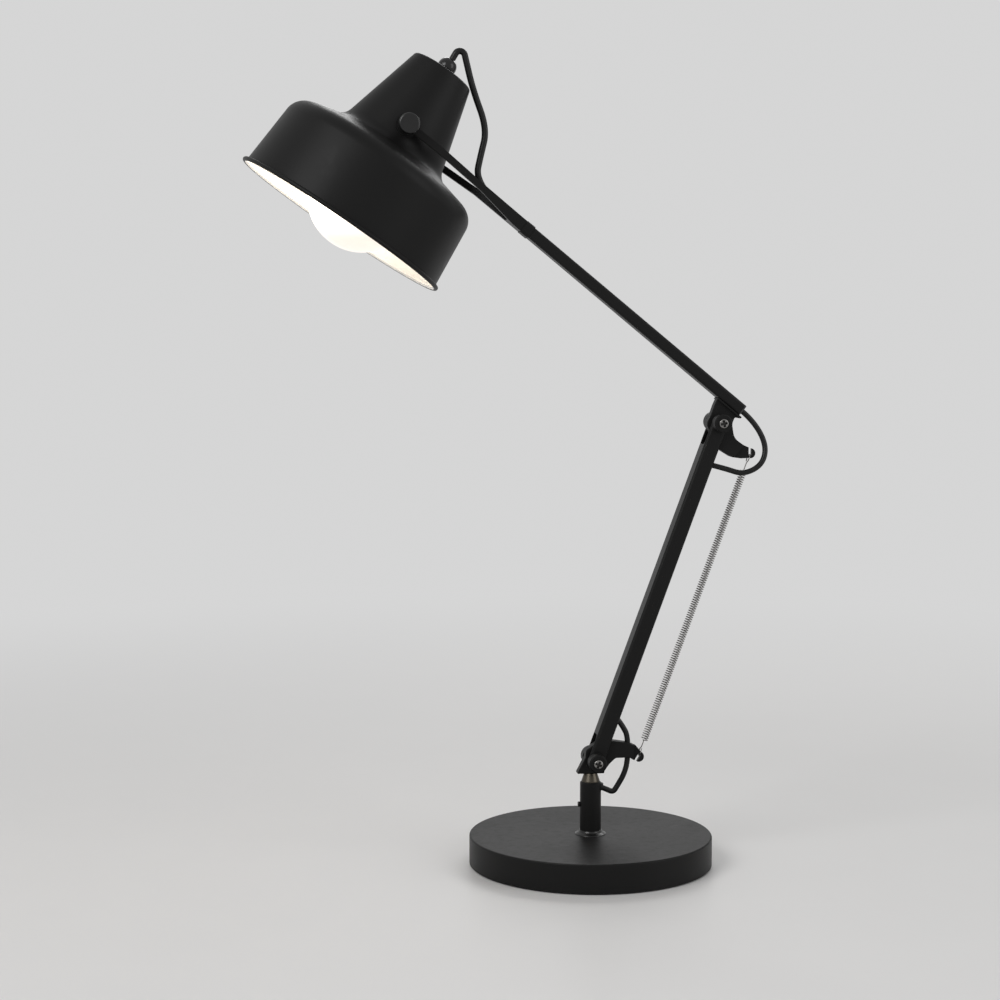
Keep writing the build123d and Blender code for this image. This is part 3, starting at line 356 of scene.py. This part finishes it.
# Bright plated steel: cloudy greys with fine draw marks in roughness and relief.
def platedSteel():
    shader = Shader("platedSteel")
    haze = shader.noise(3, 4)
    marks = shader.noise(0.35, 2)
    level = steelSettings["level"]
    colour = shader.mix(haze, grey(level * 0.72, 0.03), grey(level * 1.15, 0.03))
    shader.relief(marks, 0.004)
    rough = haze * 0.16 + marks * 0.08 + steelSettings["rough"] - 0.1
    return shader.finish({"Base Color": colour, "Metallic": 1.0, "Roughness": rough})


sheathSettings = {"level": 0.0085, "dust": 0.02, "rough": 0.36, "specular": 0.22}


# Satin sheath: slow flats from the extruder, and dust that dulls its gloss.
def cordSheath():
    shader = Shader("cordSheath")
    dust = shader.fade(shader.noise(5, 5, 0.65), 0.5, 0.85)
    flats = shader.noise(4, 2)
    colour = shader.mix(dust, grey(sheathSettings["level"]), grey(sheathSettings["dust"], 0.05))
    shader.relief(flats, 0.035)
    rough = flats * 0.1 + dust * 0.16 + sheathSettings["rough"] - 0.08
    specular = sheathSettings["specular"]
    return shader.finish({"Base Color": colour, "Roughness": rough, "Specular IOR Level": specular})


glowSettings = {
    "from": 0.585,  # heights in metres at rest, dim below and lit above
    "to": 0.635,
    "strength": 5.0,
    "coat": 0.4,
    "coatRough": 0.06,
}


# Opal glass lit from inside: white towards the cap, and a soft warm beige at the globe's crown.
def opalGlass():
    shader = Shader("opalGlass")
    lit = shader.fade(shader.height(), glowSettings["from"], glowSettings["to"])
    cloud = shader.noise(22, 3)
    dim = shader.mix(cloud, (0.16, 0.145, 0.132, 1), (0.172, 0.156, 0.142, 1))
    shader.relief(shader.noise(30, 1), 0.03)
    return shader.finish(
        {
            "Base Color": shader.mix(cloud, (0.33, 0.29, 0.235, 1), (0.38, 0.34, 0.28, 1)),
            "Roughness": cloud * 0.08 + 0.16,
            "Emission Color": shader.mix(lit, dim, (1.0, 0.9, 0.76, 1)),
            "Emission Strength": glowSettings["strength"],
            "Coat Weight": glowSettings["coat"],
            "Coat Roughness": glowSettings["coatRough"],
        }
    )


plainFinishes = {
    "neck": {"colour": (0.085, 0.075, 0.06), "rough": 0.32, "metal": 1.0, "blot": 3},
    # painted shade: a near-black finish laid on the screw heads' cross recess, for the shade that falls in it
    "paintedRecessShade": {"colour": (0.02, 0.019, 0.018), "rough": 0.5, "metal": 0.3, "blot": 2},
    "iron": {"colour": (0.1, 0.095, 0.09), "rough": 0.6, "metal": 0.6, "blot": 4},
    "pad": {"colour": (0.04, 0.04, 0.04), "rough": 0.85, "metal": 0.0, "blot": 3},
    "nylon": {"colour": (0.02, 0.02, 0.021), "rough": 0.45, "metal": 0.0, "blot": 5},
    "holder": {"colour": (0.78, 0.76, 0.71), "rough": 0.3, "metal": 0.0, "blot": 8},
    "ceramic": {"colour": (0.82, 0.8, 0.76), "rough": 0.25, "metal": 0.0, "blot": 7},
    "brass": {"colour": (0.78, 0.58, 0.26), "rough": 0.3, "metal": 1.0, "blot": 3},
    "cap": {"colour": (0.7, 0.7, 0.68), "rough": 0.32, "metal": 1.0, "blot": 4},
}


# Plain finish: blots between a darker and the full colour, an uneven gloss and a light grain.
def plainFinish(name, colour, rough, metal, blot):
    shader = Shader(name)
    cloud = shader.noise(blot, 4)
    dark = (*[channel * 0.84 for channel in colour], 1)
    shader.relief(shader.noise(blot / 5, 2), 0.012)
    return shader.finish(
        {
            "Base Color": shader.mix(cloud, dark, (*colour, 1)),
            "Roughness": cloud * 0.14 + rough - 0.07,
            "Metallic": metal,
        }
    )


materials = {slot: powderCoat(slot, **coat) for slot, coat in coats.items()}
materials |= {slot: plainFinish(slot, **finish) for slot, finish in plainFinishes.items()}
materials["gloss_black"] = glossyMoulding()
materials["bright_steel"] = platedSteel()
materials["lead"] = cordSheath()
materials["opal"] = opalGlass()
whiteInside = whiteEnamel()

for part in frame["record"]["subparts"]:
    node = frame["nodes"][part["node"]]
    node.data.materials.clear()
    node.data.materials.append(materials[part["material_slot"]])
# The neck is bare dark metal in the photo, which its slot doesn't say.
frame["nodes"]["post_neck"].data.materials[0] = materials["neck"]
print("finishes made")

lead = {
    "diameter": 5.2,
    "headDiameter": 6.0,  # sleeved between the gland and the fork
    "glandFlat": 77.9,  # above the shade's pivot
    "forkCrotch": 124.0,
    "tubeEnd": 408.6,
    "slotReach": 39.7,
    "forkRun": 17.0,  # straight before the crotch
    "mouthRun": 7.6,  # straight on past a slot's mouth
    "hornRun": 12.0,  # straight on below the horn
    "elbowRun": 15.5,  # straight on out of the upper tube
    "splineOrder": 3,
    "splineSteps": 16,
    "sides": 20,
}
postEntry = Side((0, 0, 76.0), radians(20))


def beyond(before, end, distance):
    return end + (end - before).normalized() * distance


headRoute = [
    shadeSide(0, lead["glandFlat"]),
    Vector((-128.3, 0, 754.6)),
    Vector((-126.4, 0, 757.9)),
    Vector((-122.6, 0, 758.8)),
    Vector((-119.4, 0, 756.8)),
    Vector((-118.5, 0, 753.1)),
    Vector((-111.6, 0, 724.0)),
    Vector((-98.4, 0, 688.5)),
    Vector((-104.6, 0, 663.5)),
    Vector((-108.8, 0, 644.0)),
    forkSide(lead["forkCrotch"] - lead["forkRun"], 0),
    forkSide(lead["forkCrotch"], 0),
]
upperRoute = [
    forkSide(lead["forkCrotch"], 0),
    forkSide(172.0, 0),
    forkSide(230.0, 0.7, 2.0),
    forkSide(290.0, -0.6, -1.5),
    forkSide(345.0, 0.5, 0.8),
    forkSide(389.4, 0),
    forkSide(lead["tubeEnd"], 0),
]
elbowMouth = lowerSide(7.5, lowerLength - lead["slotReach"], 3.0)
elbowRoute = [
    forkSide(lead["tubeEnd"], 0),
    forkSide(lead["tubeEnd"] + lead["elbowRun"], 0),
    Vector((166.5, -3.0, 397.0)),
    Vector((162.0, -8.0, 378.4)),
    Vector((143.5, -8.5, 369.0)),
    Vector((126.5, -5.5, 374.6)),
    elbowMouth,
]
shoulderMouth = lowerSide(7.5, lead["slotReach"] + 3.8)
shoulderRoute = [
    shoulderMouth,
    Vector((30.6, 0, 130.4)),
    Vector((35.6, 0, 121.2)),
    bracketSide(32.0, 9.5),
]
lowerRoute = [
    elbowMouth,
    beyond(elbowRoute[-2], elbowMouth, lead["mouthRun"]),
    lowerSide(0.6, 252.0, -0.8),
    lowerSide(-0.8, 200.0, 1.5),
    lowerSide(0.8, 145.0, -1.0),
    lowerSide(-0.6, 90.0, 1.0),
    beyond(shoulderRoute[1], shoulderMouth, lead["mouthRun"]),
    *shoulderRoute,
]
postRoute = [
    shoulderRoute[-1],
    beyond(shoulderRoute[-2], shoulderRoute[-1], lead["hornRun"]),
    Vector((32.0, 0, 83.8)),
    Vector((25.8, 0, 73.4)),
    Vector((21.7, 0, 67.0)),
    postEntry(15.0, 0),
    postEntry(4.5, 0),
]


# The route's smooth line is read from its spline, and a round tube of the lead's size is
# carried along it. Where the lead crosses a joint, the tube stays where it is made, on neither body.
def makeLead(name, route, diameter, nodes, body, toBody=None, crossing=None):
    curve = bpy.data.curves.new(name + "Line", "CURVE")
    curve.dimensions = "3D"
    spline = curve.splines.new("NURBS")
    spline.points.add(len(route) - 1)
    spline.points.foreach_set("co", [number for place in route for number in (*(place * mm), 1)])
    spline.order_u = lead["splineOrder"]
    spline.use_endpoint_u = True
    spline.resolution_u = lead["splineSteps"]
    line = addObject(name + "Line", curve)
    bpy.context.view_layer.update()
    sampled = bpy.data.meshes.new_from_object(line)
    path = np.empty(len(sampled.vertices) * 3)
    sampled.vertices.foreach_get("co", path)
    path = path.reshape(-1, 3)
    bpy.data.objects.remove(line)
    mesh = tubeAlong(name, path / mm, (0, -1, 0), diameter / 2, lead["sides"])
    piece = addObject(name, mesh, materials["lead"])
    if toBody:
        begin, finish = crossing or (route[0], route[-1])
        begin * mm
        finish * mm
        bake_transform(piece)
    else:
        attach(piece, body)
    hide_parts(*nodes)


makeLead("headLead", headRoute, lead["headDiameter"], ["head_lead"], "shade", "upper_arm")
makeLead("upperArmLead", upperRoute, lead["diameter"], ["upper_arm_lead"], "upper_arm")
makeLead("elbowLead", elbowRoute, lead["diameter"], ["elbow_lead"], "upper_arm", "lower_arm")
makeLead(
    "lowerArmLead",
    lowerRoute,
    lead["diameter"],
    ["lower_arm_lead", "shoulder_lead"],
    "lower_arm",
    "swivel",
    (shoulderRoute[0], shoulderRoute[-1]),
)
makeLead("postLead", postRoute, lead["diameter"], ["post_lead"], "swivel")
print("lead laid")

collar = {
    "corners": [(10.25, 0), (15.0, 0), (15.0, 1.5), (11.6, 3.4), (10.7, 5.0), (10.25, 5.0)],
    "roundings": [0.3, 0.8, 1.6, 0.4],
    "foot": 27.0,  # top of the base
    "arcStep": 8,  # degrees
    "segments": 96,
}


# Flared ring round the post's foot: a closed profile turned round the post's axis.
def makeCollar():
    outline = roundCorners(collar["corners"], collar["roundings"], collar["arcStep"])
    side = Side((0, 0, collar["foot"]), 0)
    mesh = turned("postCollar", side, outline, collar["segments"], closed=True)
    piece = addObject("postCollar", mesh, materials["gloss_black"])
    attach(piece, "base")
    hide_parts("post_collar")


makeCollar()
print("collar made")

spring = {
    "wire": 1.0,
    "outer": 7.2,
    "pitch": 2.2,
    "hookRadius": 4.0,
    "hookBend": 2.0,
    "hookTurn": 300,  # degrees
    "hornTip": 5.0,
    "notchWidth": 3.0,
    "notchWire": 1.1,  # the solid spring's wire, for which the seat is worked out
    "notchGap": 0.1,
    "lowerNotch": (42.4, 3.2, -121.0),  # x and y in the bracket's plane, and the way it opens
    "upperNotch": (42.7, -3.9),  # opens square to the upper arm
    "lowerHook": 14.5,
    "upperHook": 15.5,
    "bendFrom": 8.0,  # along the spring from its hook's seat
    "bendTo": 85.0,
    "shankGap": 0.6,  # from the shank's last point to the coil
    "growTurns": 0.75,
    "ringSteps": 60,
    "arcSteps": 14,
    "turnSteps": 20,
    "sides": 8,
}


# The hook's seat is where its wire touches the notch's floor, in from the notch's centre.
def findSeat(side, x, y, angle):
    rise = spring["hookRadius"] - sqrt(spring["hookRadius"] ** 2 - (spring["hornTip"] / 2) ** 2)
    inward = (spring["notchWidth"] - spring["notchWire"]) / 2 - rise - spring["notchGap"]
    return side(x - inward * cos(angle), y - inward * sin(angle))


lowerX, lowerY, lowerOpens = spring["lowerNotch"]
upperX, upperY = spring["upperNotch"]
upperOpens = atan2(cos(radians(rest["slope"])), -sin(radians(rest["slope"])))
lowerSeat = findSeat(bracketSide, lowerX, lowerY, radians(lowerOpens))
upperSeat = findSeat(upperSide, upperX, upperY, upperOpens)
springWay = (upperSeat - lowerSeat).normalized()
springLength = (upperSeat - lowerSeat).length


# Hook in its plane, as (across, along): a ring of most of a turn, then an arc the other way
# that brings the wire onto the spring's axis. The spokes point out from each arc's centre.
def hookLine():
    radius, bend = spring["hookRadius"], spring["hookBend"]
    join = acos(bend / (radius + bend))
    ring = np.linspace(join - radians(spring["hookTurn"]), join, spring["ringSteps"])
    ringSpokes = np.stack([np.cos(ring), np.sin(ring)], axis=1)
    arc = np.linspace(pi + join, pi, spring["arcSteps"])[1:]
    arcSpokes = np.stack([np.cos(arc), np.sin(arc)], axis=1)
    top = radius + (radius + bend) * sin(join)
    line = np.vstack([(0, radius) + radius * ringSpokes, (bend, top) + bend * arcSpokes])
    return line, np.vstack([ringSpokes, -arcSpokes])


# Coil: the point at phase p stands at radius (cos p, sin p) and has climbed pitch x p / 2 pi.
# Over its first three quarters of a turn the radius grows from the axis in an easy curve.
def coilLine(start, end):
    radius = (spring["outer"] - spring["wire"]) / 2
    turns = round((end - start) / spring["pitch"])
    phase = np.linspace(0, 2 * pi * turns, turns * spring["turnSteps"] + 1)
    grow = np.clip(phase / (2 * pi * spring["growTurns"]), 0, 1)
    grow = radius * grow * grow * (3 - 2 * grow)
    spokes = np.stack([np.cos(phase), np.sin(phase)], axis=1)
    return grow[:, None] * spokes, np.linspace(start, end, len(phase)), spokes


# One half of the spring, from its hook to the middle. across, third and way are its axes.
def makeSpringHalf(name, seat, way, hookLength, mirror):
    hook, hookSpokes = hookLine()
    coil, climb, coilSpokes = coilLine(hookLength, springLength / 2)
    flat = np.zeros(len(hook))
    shankEnd = hookLength - spring["shankGap"]
    shank = [[0, 0, shankEnd]] if shankEnd > hook[-1, 1] else []
    points = np.vstack([np.stack([hook[:, 0] * mirror, flat, hook[:, 1]], axis=1), *shank])
    points = np.vstack([points, np.column_stack([coil, climb])])
    hookOut = np.stack([hookSpokes[:, 0] * mirror, flat, hookSpokes[:, 1]], axis=1)
    shankOut = [[mirror, 0, 0]] * len(shank)
    out = np.vstack([hookOut, *shankOut, np.column_stack([coilSpokes, np.zeros(len(climb))])])
    axes = np.stack([(0, 1, 0), np.cross(np.array(way), (0, 1, 0)), np.array(way)])
    line = np.array(seat) + points @ axes
    mesh = tubeAlong(name, line, out @ axes, spring["wire"] / 2, spring["sides"])
    piece = addObject(name, mesh, materials["bright_steel"])
    begin = (seat + way * spring["bendFrom"]) * mm
    end = (seat + way * spring["bendTo"]) * mm
    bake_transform(piece)
    return piece


springLower = makeSpringHalf("springLower", lowerSeat, springWay, spring["lowerHook"], 1)
makeSpringHalf("springUpper", upperSeat, -springWay, spring["upperHook"], -1)
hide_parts("balance_spring")
print("spring wound")

shade = {
    "wall": 1.0,
    "bead": 2.0,  # radius of the rolled rim
    "tilt": 34.0,  # degrees
    "corners": [(5.0, 64.8), (29.9, 64.8), (52.4, -19.5), (96.8, -31.5), (102.6, -103.1)],
    "roundings": [3.0, 15.0, 18.0],
    "arcStep": 5,  # degrees
    "fillStep": 6.0,
    "beadFrom": 143,  # degrees round the bead, from the outer wall to the inner
    "beadTo": -150,
    "beadSteps": 22,
    "whiteSteps": 3,  # the bead's last steps, which are enamelled with the inside
    "segments": 192,
}


# The outline's points move square to it, to its inner side, by the wall's thickness.
def offsetInside(outline, wall):
    ways = np.gradient(outline, axis=0)
    ways /= np.linalg.norm(ways, axis=1)[:, None]
    return outline + wall * np.stack([ways[:, 1], -ways[:, 0]], axis=1)


# Spun shell: the outer profile, a rolled bead round the rim and the inner profile back up,
# turned round the shade's axis. From the bead's last steps inwards the faces are white.
def makeShade():
    rimRadius, rimHeight = shade["corners"][-1]
    profile = roundCorners(shade["corners"], shade["roundings"], shade["arcStep"])
    outer = fillOutline(profile, shade["fillStep"])
    inner = offsetInside(outer, shade["wall"])
    centre = np.array([rimRadius + shade["bead"] - shade["wall"] / 2, rimHeight])
    outer = outer[np.linalg.norm(outer - centre, axis=1) > shade["bead"]]
    turns = np.radians(np.linspace(shade["beadFrom"], shade["beadTo"], shade["beadSteps"]))
    bead = centre + shade["bead"] * np.stack([np.cos(turns), np.sin(turns)], axis=1)
    outline = np.vstack([outer, bead, inner[::-1]])
    side = Side(shadePivot, radians(shade["tilt"]))
    mesh = turned("shadeShell", side, outline, shade["segments"], closed=True)
    piece = addObject("shadeShell", mesh, materials["shade_metal"])
    mesh.materials.append(whiteInside)
    rows = np.repeat(np.arange(len(outline)), shade["segments"])
    firstWhite = len(outer) + len(bead) - shade["whiteSteps"]
    white = (rows >= firstWhite) & (rows < len(outline) - 1)
    mesh.polygons.foreach_set("material_index", white.astype(np.int32))
    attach(piece, "shade")
    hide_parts("shade_shell")


makeShade()

bulb = {
    "globeRadius": 49.5,
    "globeHeight": -72.6,
    "neckRadius": 13.6,
    "neckEnd": -16.0,
    "neckEdge": 1.0,  # the neck's end face has a ring this wide for a crisp edge
    "top": -10.0,
    "lean": 3.1,  # degrees off the shade's axis, as it sits in its holder
    "hollowSteps": 18,
    "ballSteps": 64,
    "segments": 96,
}


# Globe bulb: a ball, a hollow arc that touches both ball and neck, and the neck up to the cap.
def makeBulb():
    radius, height = bulb["globeRadius"], bulb["globeHeight"]
    neck, neckEnd, top = bulb["neckRadius"], bulb["neckEnd"], bulb["top"]
    drop = neckEnd - height
    flow = (drop**2 + neck**2 - radius**2) / (2 * (radius - neck))
    turn = atan2(drop, neck + flow)
    bend = np.linspace(pi, pi + turn, bulb["hollowSteps"])
    hollow = np.stack([neck + flow + flow * np.cos(bend), neckEnd + flow * np.sin(bend)], axis=1)
    ball = np.linspace(turn, -pi / 2, bulb["ballSteps"])[1:]
    globe = np.stack([radius * np.cos(ball), height + radius * np.sin(ball)], axis=1)
    endFace = [(0, top), (neck - bulb["neckEdge"], top), (neck, top)]
    outline = np.vstack([endFace, hollow, globe])
    side = Side(shadeSide(0, top), radians(rest["tilt"] - bulb["lean"]))
    mesh = turned("bulbGlass", side, outline - (0, top), bulb["segments"])
    piece = addObject("bulbGlass", mesh, materials["opal"])
    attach(piece, "shade")
    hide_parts("bulb_glass")


makeBulb()
print("shade and bulb made")

screw = {
    "headRadius": 4.3,
    "headHeight": 2.2,
    "capEnd": 23.0,  # under the head, from the arms' middle
    "pinRadius": 3.0,
    "crossHalfWidth": 0.95,
    "crossReach": 3.3,
    "crossDepth": 2.1,
    "crossEase": 0.15,  # the cross's walls slope over this much
    "reachEase": 0.5,
    "recessInset": 0.2,
    "faceInset": 0.5,  # the dome ends this far inside the head's edge
    "domeDrop": 0.5,
    "edge": [(0.15, 0.75), (0.0, 1.1)],  # the edge's steps, in from the head's radius and down
    "faceSteps": 40,
    "segments": 128,
}


# Pan-head screw as rings of radius r and depth d at angles a. The head's face is a shallow dome
# less a cross: full depth within half the cross's width of either arm's line, easing out at its ends.
# Faces over the cross get a near-black finish, which is painted shade in the recess. The test leaves out the
# depth, so the pin's other end, inside the nut, gets it as well.
def makeScrew(name, centre, body, node, turn):
    side = Side(centre, turn)
    top = screw["capEnd"] + screw["headHeight"]
    pin, head, foot = screw["pinRadius"], screw["headRadius"], -screw["capEnd"]
    face = np.linspace(0, 1, screw["faceSteps"])
    (edgeIn, edgeDown), (flankIn, flankDown) = screw["edge"]
    flank = [head - edgeIn, head - flankIn, head, pin, pin, 0]
    radii = np.concatenate([face * (head - screw["faceInset"]), flank])
    dome = top - screw["domeDrop"] * face**2
    down = [top - edgeDown, top - flankDown, screw["capEnd"], screw["capEnd"], foot, foot]
    depths = np.concatenate([dome, down])
    turns = np.linspace(0, 2 * pi, screw["segments"], endpoint=False)
    x = radii[:, None] * np.cos(turns)
    y = radii[:, None] * np.sin(turns)
    arm = np.minimum(np.abs(x), np.abs(y))
    reach = np.hypot(x, y)
    ease = screw["crossEase"]
    cross = np.clip((screw["crossHalfWidth"] + ease - arm) / ease, 0, 1)
    cross = cross * np.clip((screw["crossReach"] - reach) / screw["reachEase"], 0, 1)
    cross[len(face):] = 0
    depth = depths[:, None] - screw["crossDepth"] * cross
    axes = np.stack([np.array(side.x), np.array(side.y), np.array(side.out)])
    grid = np.array(side.origin) + np.stack([x, y, depth], axis=-1) @ axes
    mesh = gridMesh(name, grid, closeColumns=True)
    piece = addObject(name, mesh, materials["bright_steel"])
    # painted shade: the faces over the cross recess get the near-black finish
    mesh.materials.append(materials["paintedRecessShade"])
    centres = np.empty(len(mesh.polygons) * 3)
    mesh.polygons.foreach_get("center", centres)
    local = np.abs((centres.reshape(-1, 3) / mm - np.array(side.origin)) @ axes.T)
    inCross = np.minimum(local[:, 0], local[:, 1]) < screw["crossHalfWidth"]
    markReach = screw["crossReach"] - screw["recessInset"]
    inCross &= np.hypot(local[:, 0], local[:, 1]) < markReach
    mesh.polygons.foreach_set("material_index", inCross.astype(np.int32))
    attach(piece, body)
    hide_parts(node)


makeScrew("shoulderScrew", shoulder, "lower_arm", "shoulder_bolt", radians(22))
makeScrew("elbowScrew", elbow, "lower_arm", "elbow_bolt", radians(-12))
print("screws made")

stage = {
    "background": 0.67,
    "surround": 0.3,
    "floorLevel": 0.77,
    "fadeFrom": 0.3,
    "fadeTo": 2.0,
    "reach": 6.0,
    "specular": 0.2,
}


# Pale satin floor that fades, far from the lamp, into the background's own grey.
def floorFinish():
    shader = Shader("floor")
    cloud = shader.noise(120, 3)
    distance = shader.add("ShaderNodeVectorMath", {"operation": "LENGTH"}, {0: shader.place}, "Value")
    far = shader.fade(distance, stage["fadeFrom"], stage["fadeTo"])
    level = stage["floorLevel"]
    shader.finish(
        {
            "Base Color": shader.mix(cloud, grey(level * 0.985, 0.01), grey(level * 1.015, 0.01)),
            "Roughness": cloud * 0.04 + 0.36,
            "Specular IOR Level": stage["specular"],
        }
    )
    glow = shader.add("ShaderNodeEmission", None, {"Color": grey(stage["background"])})
    base = Value(shader, shader.principled.outputs["BSDF"])
    mixed = shader.add("ShaderNodeMixShader", None, {0: far, 1: base, 2: glow})
    shader.plug(shader.tree.nodes["Material Output"].inputs["Surface"], mixed)
    return shader.material


floor = addObject("floor", bpy.data.meshes.new("floor"), floorFinish())
edge = stage["reach"]
floorCorners = [(-edge, -edge, 0), (edge, -edge, 0), (edge, edge, 0), (-edge, edge, 0)]
floor.data.from_pydata(floorCorners, [], [(0, 1, 2, 3)])

softboxes = {
    "key": {"place": (-1.5, -1.3, 1.7), "aim": (-0.05, 0, 0.4), "size": (1.2, 1.2), "power": 24},
    "fill": {"place": (1.7, -1.1, 1.0), "aim": (0, 0, 0.35), "size": (1.0, 1.6), "power": 10},
    "back": {"place": (0.6, 1.6, 1.7), "aim": (0, 0, 0.4), "size": (1.6, 0.8), "power": 15},
}
for name, box in softboxes.items():
    data = bpy.data.lights.new(name, "AREA")
    data.shape = "RECTANGLE"
    data.size, data.size_y = box["size"]
    data.energy = box["power"]
    light = addObject(name, data)
    light.location = box["place"]
    aim = Vector(box["aim"]) - Vector(box["place"])
    light.rotation_euler = aim.to_track_quat("-Z", "Y").to_euler()

world = bpy.data.worlds.new("world")
bpy.context.scene.world = world
world.use_nodes = True
sky = Nodes(world.node_tree)
cameraRay = sky.add("ShaderNodeLightPath", output="Is Camera Ray")
glossRay = sky.add("ShaderNodeLightPath", output="Is Glossy Ray")
clearRay = sky.add("ShaderNodeLightPath", output="Is Transmission Ray")
seen = sky.mix(cameraRay + glossRay + clearRay, grey(stage["surround"]), grey(stage["background"]))
sky.plug(world.node_tree.nodes["Background"].inputs["Color"], seen)
bpy.context.scene.view_settings.view_transform = "Standard"
print("stage lit")
